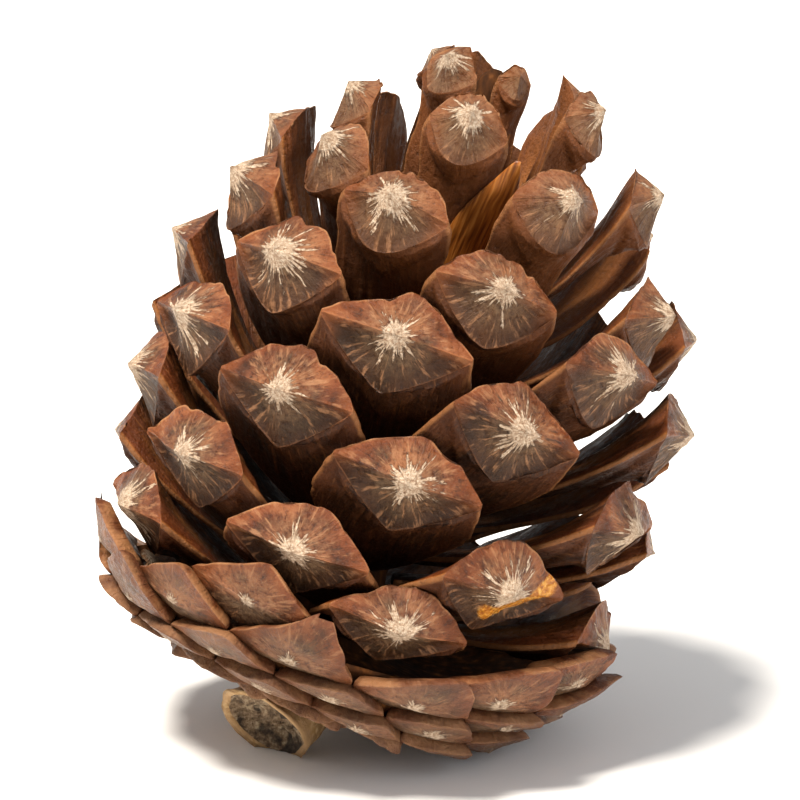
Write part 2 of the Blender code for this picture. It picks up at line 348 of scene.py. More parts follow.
# Scales that stand off the even spiral: number, degrees further round, millimetres further up.
OFF_SPIRAL = {
    28: (-6.0, 2.0), 36: (-5.0, 0.0), 39: (2.0, -1.2), 44: (-5.0, -1.3), 47: (2.0, 0.0),
    49: (-1.0, 1.6), 52: (4.0, -1.6), 54: (0.0, 1.2), 57: (-1.5, 1.1), 59: (-0.5, -0.8),
    62: (0.0, 1.4), 65: (0.0, 0.2), 73: (1.0, -2.2), 78: (-5.0, 1.4), 80: (-2.0, -2.4),
    82: (0.0, -1.5), 83: (-8.0, 1.0), 85: (0.0, -2.5), 86: (0.0, 1.4), 89: (0.0, -1.5),
    90: (0.0, -2.5), 91: (0.0, -3.0),
}


def azimuth(number):
    """Degrees round the axis, from the front towards the right."""
    return MID_AZIMUTH + GOLDEN_ANGLE * (number - MID_SCALE) + OFF_SPIRAL.get(number, (0.0, 0.0))[0]


def speckle(number):
    """A number from 0 to 1 that belongs to one scale."""
    return (number * 0.7548776662) % 1.0


def end_face_material():
    """Corky end face of a scale, with its star of dried resin."""
    material, tree, shader = new_material("corky_end_face")
    face = add(tree, "Attribute", attribute_name="from_boss").outputs["Vector"]
    seed = add(tree, "Attribute", attribute_name="seed").outputs["Fac"]
    age = add(tree, "Attribute", attribute_name="age").outputs["Fac"]
    star_size = add(tree, "Attribute", attribute_name="star").outputs["Fac"]
    to_lip = add(tree, "Attribute", attribute_name="to_lip").outputs["Fac"]
    to_side = add(tree, "Attribute", attribute_name="to_side").outputs["Fac"]
    to_keel = add(tree, "Attribute", attribute_name="to_keel").outputs["Fac"]
    to_heel = add(tree, "Attribute", attribute_name="to_heel").outputs["Fac"]
    place = add(tree, "TexCoord").outputs["Object"]

    # Rust and cinnamon in soft clouds a few millimetres across, with a finer mottle in them.
    # The lower half of the face is duller, and painted shade makes it darker than the upper: on an open
    # scale that half faces down.
    clouds = add(tree, "TexNoise", {"Vector": place, "Scale": 330.0, "Detail": 3.0}).outputs[0]
    fine = {"Vector": place, "Scale": 1700.0, "Detail": 5.0, "Roughness": 0.7}
    mottle = add(tree, "TexNoise", fine).outputs[0]
    rusts = ((0.32, "#371a07"), (0.5, "#623014"), (0.66, "#834d2c"))
    rust = add(tree, "ValToRGB", {0: clouds}, stops=rusts)
    height_on_face = add(tree, "SeparateXYZ", {0: face}).outputs[1]
    hue = lay_coats(tree, rust.outputs[0], [
        (mottle, 0.5, 0.34, 0.6, None, "#2c1206"),
        (mottle, 0.55, 0.72, 0.4, None, "#926646"),
        # painted shade: the lower half of the face darkened
        (height_on_face, 0.3, -0.9, 0.85, None, "#2a1807"),
    ])

    # Fine grooves run out from the boss. They are drawn twice as coarse as real ones, to show.
    away = add(tree, "VectorMath", {0: face}, operation="LENGTH").outputs[1]
    unit = add(tree, "VectorMath", {0: face}, operation="NORMALIZE").outputs[0]
    own = add(tree, "CombineXYZ", {0: seed, 1: seed, 2: away}).outputs[0]
    drift = add(tree, "VectorMath", {0: own, 1: (41.0, 23.0, 0.06)}, operation="MULTIPLY").outputs[0]
    wheel = add(tree, "VectorMath", {0: unit, 1: drift}, operation="ADD").outputs[0]
    spokes = {"Vector": wheel, "Scale": 9.0, "Detail": 3.0, "Roughness": 0.6}
    groove = add(tree, "TexNoise", spokes).outputs[0]
    off_boss = {"Value": away, "From Min": 1.5, "From Max": 3.0}
    outer = add(tree, "MapRange", off_boss, interpolation_type="SMOOTHSTEP").outputs[0]

    # Worn edges: orange towards the lip and the corners. A thin pale line on every ridge is painted
    # highlight where the ridge catches the light, and partly wear.
    # Old low scales are greyed by weather, young high ones stay golden.
    patches = {"Value": clouds, "From Min": 0.4, "From Max": 0.6}
    wear_and_highlight_patches = add(tree, "MapRange", patches, interpolation_type="SMOOTHSTEP").outputs[0]
    hue = lay_coats(tree, hue, [
        (groove, 0.53, 0.68, 0.6, outer, "#9e704d"),
        (groove, 0.44, 0.3, 0.8, outer, "#291205"),
        (to_lip, 1.6, 0.0, 0.35, None, "#793b17"),
        (to_side, 2.6, 0.3, 0.5, None, "#753d15"),
        # painted highlight along the lip, keel and heel ridges, partly wear
        (to_lip, 0.22, 0.0, 0.6, wear_and_highlight_patches, "#ac7a4f"),
        (to_keel, 0.22, 0.0, 0.5, wear_and_highlight_patches, "#9b6038"),
        (to_heel, 0.2, 0.0, 0.3, None, "#855330"),
        (age, 0.42, 0.2, 0.5, None, "#5a4131"),
        (age, 0.6, 1.0, 0.4, None, "#6c3e1c"),
    ])

    # Dried resin: a pale crust on the boss that runs out in ragged needles, in a faint haze.
    rag = add(tree, "TexNoise", {"Vector": wheel, "Scale": 2.6, "Detail": 1.0}).outputs[0]
    short = {"Value": rag, "From Min": 0.32, "From Max": 0.72, "To Min": 0.3}
    ragged = add(tree, "MapRange", short, interpolation_type="SMOOTHSTEP").outputs[0]
    thin = {"Vector": wheel, "Scale": 6.5, "Detail": 3.0, "Roughness": 0.7}
    streak = add(tree, "TexNoise", thin).outputs[0]
    long = {"Value": streak, "From Min": 0.42, "From Max": 0.7, "To Max": 3.0}
    needle = add(tree, "MapRange", long, interpolation_type="SMOOTHSTEP").outputs[0]
    reach = add(tree, "Math", {0: ragged, 1: needle, 2: 1.5}, operation="MULTIPLY_ADD").outputs[0]
    reach = add(tree, "Math", {0: reach, 1: star_size}, operation="MULTIPLY").outputs[0]
    inside = add(tree, "Math", {0: reach, 1: away}, operation="SUBTRACT").outputs[0]
    edge = {"Value": inside, "From Min": -0.12, "From Max": 0.22}
    star = add(tree, "MapRange", edge, interpolation_type="SMOOTHSTEP").outputs[0]
    grit = {"Vector": place, "Scale": 3400.0, "Detail": 3.0, "Roughness": 0.75}
    crumbs = add(tree, "TexNoise", grit).outputs[0]
    creams = ((0.3, "#6b4f38"), (0.43, "#b4967a"), (0.62, "#dcc7ae"))
    crust = add(tree, "ValToRGB", {0: crumbs}, stops=creams)
    lines = add(tree, "TexNoise", {"Vector": wheel, "Scale": 15.0, "Detail": 1.0}).outputs[0]
    cream = lay_coats(tree, crust.outputs[0], [(lines, 0.48, 0.36, 0.5, None, "#7a5b40")])
    dust = {"Value": mottle, "From Min": 0.3, "From Max": 0.7}
    dusty = add(tree, "MapRange", dust, interpolation_type="SMOOTHSTEP").outputs[0]

    # Fresh amber resin that ran down one face.
    run = add(tree, "Attribute", attribute_name="resin").outputs["Fac"]
    honeys = ((0.35, "#8a4a12"), (0.5, "#b97420"), (0.66, "#e0ab55"))
    amber = add(tree, "ValToRGB", {0: mottle}, stops=honeys)
    hue = lay_coats(tree, hue, [
        (away, 5.0, 1.6, 0.3, dusty, "#a98a68"),
        (inside, -0.12, 0.22, 0.96, None, cream),
        (run, 0.3, 0.65, 1.0, None, amber.outputs[0]),
    ])
    tree.links.new(hue, shader.inputs["Base Color"])

    # A dull sheen on the cork, less on the crust, and a wet gloss on the fresh resin.
    sheen = {"Value": mottle, "From Min": 0.35, "From Max": 0.65, "To Min": 0.28, "To Max": 0.6}
    rough = add(tree, "MapRange", sheen, interpolation_type="SMOOTHSTEP").outputs[0]
    rough = add(tree, "Math", {0: star, 1: 0.12, 2: rough}, operation="MULTIPLY_ADD").outputs[0]
    gloss = {"Value": run, "From Min": 0.2, "From Max": 0.7, "To Min": rough, "To Max": 0.12}
    rough = add(tree, "MapRange", gloss, interpolation_type="SMOOTHSTEP").outputs[0]
    tree.links.new(rough, shader.inputs["Roughness"])
    shader.inputs["Specular IOR Level"].default_value = 0.25
    height = add(tree, "Math", {0: groove, 1: 0.9, 2: mottle}, operation="MULTIPLY_ADD").outputs[0]
    height = add(tree, "Math", {0: star, 1: 0.9, 2: height}, operation="MULTIPLY_ADD").outputs[0]
    gritty = add(tree, "Math", {0: star, 1: 0.8}, operation="MULTIPLY").outputs[0]
    height = add(tree, "Math", {0: crumbs, 1: gritty, 2: height}, operation="MULTIPLY_ADD").outputs[0]
    dent = add(tree, "Bump", {"Height": height, "Distance": 0.00034, "Strength": 0.9})
    tree.links.new(dent.outputs[0], shader.inputs["Normal"])
    return material


end_face = end_face_material()


def outline_point(turn, number):
    """Point on the cone's outside."""
    radius, height = outline(number)
    radius = radius * fullness(turn)
    return np.stack((np.sin(np.radians(turn)) * radius, -np.cos(np.radians(turn)) * radius,
                     height - droop(number, turn)), axis=-1)


def bowl_point(turn, number):
    """Point on the cone's outside, and the way it faces. The outline ends under the stalk."""
    number = np.maximum(number, STALK_RIM)
    along = outline_point(turn, number + 0.1) - outline_point(turn, number - 0.1)
    around = outline_point(turn + 0.1, number) - outline_point(turn - 0.1, number)
    out = np.cross(around, along)
    return outline_point(turn, number), out / np.linalg.norm(out, axis=-1, keepdims=True)


def behind_open_scale(turn, number):
    """Whether a place on the bowl is hidden by the end of one of the lowest open scales."""
    for above in range(FIRST_OPEN, 50):
        apart = (azimuth(above) - turn + 180.0) % 360.0 - 180.0
        hangs = 5.0 if above == 36 else 4.0
        if abs(apart) < END_HALF_TURN and number > above - hangs:
            return True
    return False


rim_angle = np.arange(RIM_POINTS) * math.tau / RIM_POINTS
rim_shape = np.stack((np.cos(rim_angle), np.sin(rim_angle)), axis=1)
rim_shape *= (0.5 / (np.abs(rim_shape) ** SQUARENESS).sum(axis=1) ** (1.0 / SQUARENESS))[:, None]
ring_share = np.linspace(0.0, 1.0, RIM_RINGS)
ring_share = 0.985 * np.sin(ring_share * math.pi / 2) + 0.015 * ring_share
ring_share[0] = 0.02


def basal_scale(tile):
    """Build one closed scale: a thin tile bent to the bowl, with its lip lifted off the next."""
    number = TILE_START + tile * TILE_STEP
    middle = TILE_AZIMUTH + GOLDEN_ANGLE * tile
    cells = rim_shape[None, :, :] * ring_share[:, None, None] * TILE_COVER
    own = np.full(cells.shape[:2] + (1,), number * 9.0)
    wobble = lumps(np.concatenate((cells * 7.0, own), axis=2), 1.3, 21)
    cells = cells * (1.0 + 0.07 * wobble[..., None])

    # The last rows reach further up, in under the open scales.
    stretch = np.interp(number, (24.0, 26.0, 29.0, 31.0), (0.0, 0.3, 0.3, 0.0))
    cells += stretch * np.maximum(cells.sum(axis=2, keepdims=True), 0.0)
    turn = middle + cells[..., 0] * EIGHT_ON + cells[..., 1] * THIRTEEN_ON
    level = number + (cells[..., 0] * 8.0 + cells[..., 1] * 13.0) * TILE_STEP
    place, out = bowl_point(turn, level)

    # Lip lifted, a low keel across the middle, and small unevenness.
    up_share = cells[..., 0] + cells[..., 1]
    across = cells[..., 0] - cells[..., 1]
    edge = np.broadcast_to(ring_share[:, None], up_share.shape)
    loose = max(number - 16.0, 0.0) * 0.025
    rise = (TILE_LIFT + loose) * up_share + loose + 0.5 * speckle(tile) - TILE_SUNK
    rise += 0.12 * (1.0 - edge ** 2)
    keel = np.exp(-np.abs(up_share / 0.15) ** 1.3)
    rise += 0.45 * keel * np.clip(1.0 - 1.1 * np.abs(across), 0.0, 1.0)
    rise += 0.10 * lumps(place, 1.7, 22) + 0.09 * lumps(place, 0.7, 23)
    top = place + out * rise[..., None]
    walls = []
    for depth, tuck in ((0.25, 1.0), (0.7, 0.985), (TILE_DEPTH, 0.9)):
        wall_turn = middle + (turn[-1] - middle) * tuck
        wall_level = number + (level[-1] - number) * tuck
        lower, lower_out = bowl_point(wall_turn, wall_level)
        walls.append(lower + lower_out * (rise[-1] - depth)[:, None])
    grid = np.concatenate((top, np.stack(walls)))

    rim = np.linalg.norm(top - top[-1:], axis=2)
    centre = bowl_point(middle, number)[0]
    wide = np.radians(turn - middle) * np.linalg.norm(centre[:2])
    tall = np.linalg.norm(place - centre, axis=2)
    tall = np.sqrt(np.maximum(tall ** 2 - wide ** 2, 0.0)) * np.sign(level - number)
    pad = ((0, len(walls)), (0, 0))
    wide_all, tall_all = (np.pad(v, pad, mode="edge").ravel() for v in (wide, tall))
    count = len(grid) * RIM_POINTS
    fields = {
        "from_boss": np.stack((wide_all, tall_all, np.zeros(count)), axis=1),
        "to_lip": np.pad(np.where(up_share > 0.1, rim, 3.0), pad).ravel(),
        "to_side": np.pad(np.where(np.abs(across) > 0.6, rim * 1.6, 4.0), pad, mode="edge").ravel(),
        "to_keel": np.abs(tall_all) + 0.2,
        "to_heel": np.pad(np.where(up_share < -0.1, rim + 0.1, 3.0), pad, mode="edge").ravel(),
        "seed": np.full(count, speckle(tile)),
        "age": np.full(count, number / TIP_SCALE),
        "star": np.full(count, 0.25 + 0.45 * speckle(tile + 40)),
    }
    name = "basal_scale_%02d" % (tile + 1)
    make_piece(name, grid.reshape(-1, 3), tube_faces(len(grid), RIM_POINTS), [end_face], None, fields)


for tile in range(TILES):
    if not behind_open_scale(TILE_AZIMUTH + GOLDEN_ANGLE * tile, TILE_START + tile * TILE_STEP):
        basal_scale(tile)


# ---------------------------------------------------------------------------------------------
# Open scales. Each is one woody tongue: a narrow root on the axis, a broad blade with thin
# edges, and a thick rhombic end with a ridge across it and a resin-crusted boss in its middle.
# ---------------------------------------------------------------------------------------------

LAST_OPEN, LAST_SMALL = 88, 91
WIDEST = 15.0
LOWEST_TILT = 18.0       # how far the lowest open scale rises outwards, in degrees
TILT_STEP = 1.08         # and how much steeper each next one stands
FACE_TILT = 38.0         # its end faces this much lower than the blade rises
EDGE_THICKNESS = 0.5
GAP = 0.35               # between a scale's root and the axis
RESIN_SCALE = 44         # the scale with a run of fresh resin across its end
COLUMNS = 51
BLADE_ROWS, UPPER_ROWS, LOWER_ROWS = 32, 12, 15

# Where the end's lip and heel lie off the boss, as shares of the scale's width.
CORNER_BACK = 0.13
LIP_BACK, LIP_UP = 0.21, 0.27
HEEL_BACK, HEEL_DOWN = 0.26, 0.38

# Degrees that a scale is rolled clockwise, seen from outside. The others roll at random.
OWN_ROLL = {
    36: 2.0, 41: 1.0, 44: 0.0, 49: 5.0, 52: 0.0, 54: -2.0, 57: 9.0, 62: 1.0, 65: 2.0, 70: 5.0,
    75: 0.0, 83: 2.0,
}


def bezier(a, b, c, d, t):
    """Points on a cubic curve."""
    s = 1.0 - t
    return a * s ** 3 + b * (3 * s * s * t) + c * (3 * s * t * t) + d * t ** 3


def heading(degrees):
    """Unit vector in the upright plane through the axis: first out, then up."""
    return np.array((math.cos(math.radians(degrees)), math.sin(math.radians(degrees))))


def blade_material(name, stops, side_colour, edge_colour, golden_and_lit):
    """Bare woody face of a scale's blade, with fibres that run from its root to its end."""
    material, tree, shader = new_material(name)
    grain = add(tree, "Attribute", attribute_name="grain").outputs["Vector"]
    age = add(tree, "Attribute", attribute_name="age").outputs["Fac"]
    to_side = add(tree, "Attribute", attribute_name="to_side").outputs["Fac"]
    wing = add(tree, "Attribute", attribute_name="wing").outputs["Fac"]
    outness = add(tree, "Attribute", attribute_name="outness").outputs["Fac"]
    place = add(tree, "TexCoord").outputs["Object"]

    # Fibre bundles about half a millimetre apart, drawn a little coarser, and mottling.
    drawn = add(tree, "Mapping", {"Vector": grain, "Scale": (1.9, 0.16, 1.0)}).outputs[0]
    bundles = {"Vector": drawn, "Scale": 1.0, "Detail": 4.0, "Roughness": 0.65}
    fibre = add(tree, "TexNoise", bundles).outputs[0]
    thread = add(tree, "Mapping", {"Vector": grain, "Scale": (4.4, 0.3, 1.0)}).outputs[0]
    hair = add(tree, "TexNoise", {"Vector": thread, "Scale": 1.0, "Detail": 2.0}).outputs[0]
    fine = {"Vector": place, "Scale": 1500.0, "Detail": 5.0, "Roughness": 0.7}
    mottle = add(tree, "TexNoise", fine).outputs[0]
    clouds = add(tree, "TexNoise", {"Vector": place, "Scale": 260.0, "Detail": 2.0}).outputs[0]
    base = add(tree, "ValToRGB", {0: fibre}, stops=stops)

    # Redder to the sides and pale along the thin edges. Painted shade makes it darkest near the axis.
    hue = lay_coats(tree, base.outputs[0], [
        (mottle, 0.56, 0.36, 0.6, None, stops[0][1]),
        (clouds, 0.45, 0.65, 0.35, None, side_colour),
        (to_side, 3.2, 0.2, 0.6, None, side_colour),
        (hair, 0.6, 0.7, 0.3, None, edge_colour),
        # golden towards the top: the young scales' own tone, and partly painted light on the upper
        # scales
        (age, 0.6, 0.97, 0.8, None, golden_and_lit),
    ])
    paler = add(tree, "Math", {0: wing, 1: 0.5}, operation="MULTIPLY").outputs[0]
    pale = {0: paler, 6: hue, 7: linear(edge_colour)}
    hue = add(tree, "Mix", pale, data_type="RGBA").outputs[2]
    hue = lay_coats(tree, hue, [
        # painted shade towards the root, deep between the scales round the axis
        (outness, 0.7, 0.15, 0.8, None, "#160a05"),
        (to_side, 0.3, 0.0, 0.75, None, edge_colour),
        (mottle, 0.46, 0.3, 0.5, None, "#241006"),
    ])
    tree.links.new(hue, shader.inputs["Base Color"])
    sheen = {"Value": mottle, "From Min": 0.35, "From Max": 0.65, "To Min": 0.34, "To Max": 0.68}
    rough = add(tree, "MapRange", sheen, interpolation_type="SMOOTHSTEP").outputs[0]
    tree.links.new(rough, shader.inputs["Roughness"])
    shader.inputs["Specular IOR Level"].default_value = 0.22
    height = add(tree, "Math", {0: fibre, 1: 1.1, 2: mottle}, operation="MULTIPLY_ADD").outputs[0]
    dent = add(tree, "Bump", {"Height": height, "Distance": 0.0004, "Strength": 0.9})
    tree.links.new(dent.outputs[0], shader.inputs["Normal"])
    return material


# Back of the blade, which faces down: chocolate brown, redder towards its thin edges.
browns = ((0.28, "#1b0d05"), (0.5, "#3a1d08"), (0.74, "#5f371b"))
blade_back = blade_material("blade_back_chocolate", browns, "#522a11", "#8b5a33", "#6d3c18")
# Inner face, which held the seeds: amber wood with two paler prints where their wings lay.
ambers = ((0.28, "#1b0c05"), (0.5, "#41220c"), (0.74, "#6d421b"))
blade_front = blade_material("blade_front_amber", ambers, "#6d320e", "#975d2a", "#6e3d16")


def end_rows(count):
    """Shares of the way down one half of the end, closer together near its edges."""
    return (0.5 - 0.5 * np.cos(math.pi * np.arange(1, count) / count))[:, None, None]


def scale_faces(rows, lip_row, heel_row):
    """Faces of a scale's closed skin and the material of each: 0 inside, 1 end, 2 back."""
    faces = []
    kinds = []
    for row in range(rows - 1):
        kind = 0 if row < lip_row else 1 if row < heel_row else 2
        for k in range(COLUMNS - 1):
            base = row * COLUMNS + k
            faces.append((base, base + 1, base + COLUMNS + 1, base + COLUMNS))
            kinds.append(kind)
    last = rows - 1
    for k in (0, COLUMNS - 1):
        for row in range(lip_row - 1):
            faces.append((row * COLUMNS + k, (row + 1) * COLUMNS + k,
                          (last - row - 1) * COLUMNS + k, (last - row) * COLUMNS + k))
            kinds.append(2)
        faces.append(tuple(row * COLUMNS + k for row in range(lip_row - 1, heel_row + 2)))
        kinds.append(2)
    root_top = tuple(range(COLUMNS))
    root_bottom = tuple(range(rows * COLUMNS - 1, last * COLUMNS - 1, -1))
    faces.append(root_top + root_bottom)
    kinds.append(0)
    return faces, kinds


def open_scale(number):
    """Build one open scale, first in its own upright plane, then turned to its place."""
    turn = azimuth(number)
    radius, height = (float(v) for v in outline(number))
    lift = OFF_SPIRAL.get(number, (0.0, 0.0))[1] - float(droop(number, turn))
    slimmest = 6.0 if number <= LAST_OPEN else 3.0
    width = max(WIDEST * (radius / CONE_RADIUS) ** 0.8, slimmest)
    step = number - FIRST_OPEN
    tilt = LOWEST_TILT + TILT_STEP * step
    out, up = heading(tilt - FACE_TILT), heading(tilt - FACE_TILT + 90.0)

    # Side view, out and up: boss, corners, lip and heel of the end, and the root on the axis.
    # The upper scales have rounder and taller ends.
    high = float(np.interp(number, (62, 82), (0.0, 1.0)))
    tall = width * float(np.interp(number, (74, 86), (1.0, 1.3)))
    boss = np.array((radius * float(fullness(turn)), height + lift))
    corner = boss - out * ((CORNER_BACK + 0.2 * high) * width)
    lip = boss - out * (LIP_BACK * width) + up * (LIP_UP * tall)
    heel = boss - out * (HEEL_BACK * width) - up * (HEEL_DOWN * tall)
    root_height = 5.0 + 0.40 * step + 0.0063 * step ** 2
    start = float(axis_radius(root_height)) + GAP
    root, root_half = np.array((start, root_height)), np.array((0.0, 0.65))

    # Lines from root to end: along the thin edges, the middle of the inner face and of the back.
    t = 1.0 - (1.0 - np.linspace(0.0, 1.0, BLADE_ROWS)) ** 1.5
    reach = np.linalg.norm(corner - root) * 0.36
    leaving, arriving = heading(tilt * 0.35) * reach, heading(tilt + 4.0) * reach
    edge = bezier(root, root + leaving, corner - arriving, corner, t[:, None])
    growth = (0.30 * t + 0.70 * t ** 4)[:, None]
    upper = edge + (lip - corner) * growth + root_half * (1.0 - growth)
    growth = (0.22 * t ** 1.5 + 0.78 * t ** 9)[:, None]
    lower = edge + (heel - corner) * growth - root_half * (1.0 - growth)

    # Half the width along the blade: narrow root, a shoulder, and a slightly drawn-in end.
    half = 1.5 + (0.5 * width - 1.5) * np.sin(math.pi * 0.5 * np.minimum(t / 0.86, 1.0)) ** 1.6
    half *= 1.0 + (0.10 - 0.36 * high) * np.exp(-((t - 0.74) / 0.17) ** 2)
    half *= 1.0 - (0.03 + 0.16 * high) * np.clip((t - 0.84) / 0.16, 0.0, 1.0) ** 2
    end_half = half[-1]
    own = np.full(BLADE_ROWS, float(number))
    half *= (1.0 + 0.035 * lumps(np.stack((t * 9.0, own, own * 0.0), axis=1), 1.0, 31)
             + 0.02 * lumps(np.stack((t * 30.0, own, own * 0.0), axis=1), 1.0, 38))

    # Sheets of the inner face and the back, from side to side, with nicks along the lip.
    s = np.linspace(-1.0, 1.0, COLUMNS)
    s = 0.65 * s + 0.35 * np.sin(s * math.pi / 2)
    half_edge = np.array((0.0, EDGE_THICKNESS * 0.5))
    sheets = []
    sides = ((upper, 1.8 + 0.8 * high, half_edge), (lower, 1.25 + 0.7 * high, -half_edge))
    for line, power, offset in sides:
        share = (np.abs(s) ** power)[None, :, None]
        sheet = line[:, None, :] * (1.0 - share) + (edge + offset)[:, None, :] * share
        sheets.append(np.concatenate((sheet, (s[None, :] * half[:, None])[..., None]), axis=2))
    top, low = sheets
    nicks = np.stack((s * width / 2, s * 0.0 + number, s * 0.0), axis=1)
    chip = (0.7 * lumps(nicks, 2.3, 32) + 0.3 * lumps(nicks, 0.8, 39)) * (1.0 - s ** 4)
    top[..., :2] += up * (chip[None, :, None] * (t ** 10)[:, None, None])

    # The end: a ridge from corner to corner over the boss, a swollen half above it, and a half
    # below that is scooped out to both sides.
    share = (np.abs(s) ** 1.05)[:, None]
    keel = np.concatenate((boss * (1.0 - share) + corner * share, (s * half[-1])[:, None]), axis=1)
    belly = 1.0 - s ** 2
    u = end_rows(UPPER_ROWS)
    upper_end = top[-1] * (1.0 - u) + keel * u
    upper_end[..., :2] += out * (np.sin(math.pi * u) * (0.010 * width * belly)[None, :, None])
    u = end_rows(LOWER_ROWS)
    lower_end = keel * (1.0 - u) + low[-1] * u
    scoop = 4.0 * np.abs(s) * (1.0 - np.abs(s))
    lower_end[..., :2] -= out * (np.sin(math.pi * u) * (0.045 * width * scoop)[None, :, None])
    low[-2, :, :2] -= out * 0.16 * belly[:, None]
    low[-3, :, :2] -= out * 0.22 * belly[:, None]

    # One sheet round the whole scale, and how far each point is from the lines on it.
    grid = np.concatenate((top, upper_end, keel[None], lower_end, low[::-1]))
    rows = len(grid)
    lip_row = BLADE_ROWS - 1
    keel_row = lip_row + UPPER_ROWS
    heel_row = keel_row + LOWER_ROWS
    walked = np.zeros((rows, COLUMNS))
    walked[1:] = np.cumsum(np.linalg.norm(np.diff(grid, axis=0), axis=2), axis=0)
    to_lip, to_keel, to_heel = (np.abs(walked - walked[row]) for row in (lip_row, keel_row, heel_row))
    across = grid[..., 2]
    rise = (grid[..., :2] - boss) @ up
    away = np.hypot(across, rise)
    length = np.minimum(walked, walked[-1] - walked)
    on_end, on_back, on_front = np.zeros((3, rows, 1))
    on_end[lip_row + 1:heel_row] = 1.0
    on_back[heel_row + 2:] = 1.0
    on_front[:lip_row - 1] = 1.0
    t_all = np.concatenate((t, np.ones(heel_row - lip_row - 1), t[::-1]))[:, None]

    # Relief: flutes and a crust round the boss, fibres along the blade, two beds where the seed
    # wings lay, a V-shaped plate under the end, and a gentle unevenness all over.
    swap = np.array((0, 2, 1))
    across_rows, across_columns = np.gradient(grid, axis=(0, 1))
    normal = np.cross(across_rows[..., swap], across_columns[..., swap])
    normal /= np.maximum(np.linalg.norm(normal, axis=2, keepdims=True), 1e-9)
    spots = grid[..., swap] + number * 11.7
    angle = np.arctan2(rise, across)
    wheel = np.stack((np.cos(angle) * 3.2 + number, np.sin(angle) * 3.2, away * 0.12), axis=2)
    flutes = 0.128 * lumps(wheel, 0.5, 33) * np.clip(away / 3.0, 0.0, 1.0)
    crust = 0.16 * np.clip(1.0 - away / (0.17 * width), 0.0, 1.0) * (1.0 + lumps(spots, 0.55, 34))
    run = np.stack((across / 0.55 + number, length / 7.0, across * 0.0 + number), axis=2)
    fibres = 0.10 * lumps(run, 1.0, 35)
    bed = np.exp(-((np.abs(s)[None, :] - 0.46) / 0.26) ** 4 - ((t_all - 0.55) / 0.30) ** 4)
    plate = 0.5 * width * (1.0 - to_heel / (0.42 * width)) - np.abs(across)
    plate = np.clip(plate / 0.6, 0.0, 1.0)
    relief = 0.13 * lumps(spots, 2.3, 36) + 0.06 * lumps(spots, 0.9, 37)
    relief += on_end * (flutes + crust - 0.1) + (on_back + on_front) * fibres
    relief += on_back * plate * 0.4 - on_front * bed * 0.25
    calm = np.clip((1.0 - np.abs(s)) * 6.0, 0.15, 1.0)[None, :]
    grid = grid[..., swap] + normal * (relief * calm)[..., None]

    # No two scales are quite alike: each rolls and leans a little its own way.
    roll = -math.tan(math.radians(OWN_ROLL.get(number, 4.0 * math.sin(number * 2.3 + 1.0))))
    side = 0.0 if number in OWN_ROLL else 0.02 * math.sin(number * 3.7 + 0.4)
    out_share = np.clip((grid[..., 0] - start) / (boss[0] - start), 0.0, 1.3)
    grid[..., 2] += roll * grid[..., 1] * out_share
    grid[..., 1] += side * (grid[..., 0] - start) * out_share

    direction = math.radians(turn)
    ahead = np.array((math.sin(direction), -math.cos(direction), 0.0))
    aside = np.array((math.cos(direction), math.sin(direction), 0.0))
    points = grid[..., 0:1] * ahead + grid[..., 1:2] * aside + grid[..., 2:3] * np.array((0.0, 0.0, 1.0))
    crusted = 0.80 + 0.35 * speckle(number + 7) if number <= 90 else 0.0
    count = rows * COLUMNS
    fields = {
        "from_boss": np.stack((across, rise, rise * 0.0), axis=2).reshape(-1, 3),
        "grain": np.stack((across, length, across * 0.0 + number * 3.1), axis=2).reshape(-1, 3),
        "to_lip": to_lip.ravel(),
        "to_keel": to_keel.ravel(),
        "to_heel": to_heel.ravel(),
        "to_side": np.broadcast_to((1.0 - np.abs(s)) * end_half, to_lip.shape).ravel(),
        "wing": (bed * on_front).ravel(),
        "outness": np.broadcast_to(t_all, to_lip.shape).ravel(),
        "seed": np.full(count, speckle(number)),
        "age": np.full(count, number / TIP_SCALE),
        "star": np.full(count, crusted * (width / WIDEST) ** 0.7),
    }
    if number == RESIN_SCALE:
        # A run 7 mm long that starts near the right corner and goes down to the left.
        along = np.clip(((across - 5.4) * -0.8 + (rise - 1.2) * -0.6) / 7.0, 0.0, 1.0)
        off_line = np.hypot(across - 5.4 + 0.8 * 7.0 * along, rise - 1.2 + 0.6 * 7.0 * along)
        wavy = 1.35 + 0.4 * lumps(np.stack((across, rise, across * 0.0), axis=2), 1.1, 41)
        fields["resin"] = (np.clip(1.15 - off_line / wavy, 0.0, 1.0) * on_end).ravel()
    faces, kinds = scale_faces(rows, lip_row, heel_row)
    skins = [blade_front, end_face, blade_back]
    name, stands_for, slot = "core_scale_%02d" % number, "core", "core"
    if number <= LAST_OPEN:
        name, stands_for, slot = "open_scale_%02d" % number, "scale_%02d" % number, "scale"
    make_piece(name, points.reshape(-1, 3), faces, skins, kinds, fields, stands_for)


for number in range(FIRST_OPEN, LAST_SMALL + 1):
    open_scale(number)


# ---------------------------------------------------------------------------------------------
# Seed wing. One papery wing is left behind near the top, its seed long gone. It is a film of
# amber tissue with fine veins, loose in the gap above one scale with only its tip showing.
# ---------------------------------------------------------------------------------------------

WING_SCALE = 70          # it lies on the inner face of this scale
WING_ASIDE = -3.0        # degrees from the middle of that scale
WING_HALF_WIDTH = 3.1
WING_ROWS, WING_COLUMNS = 30, 15

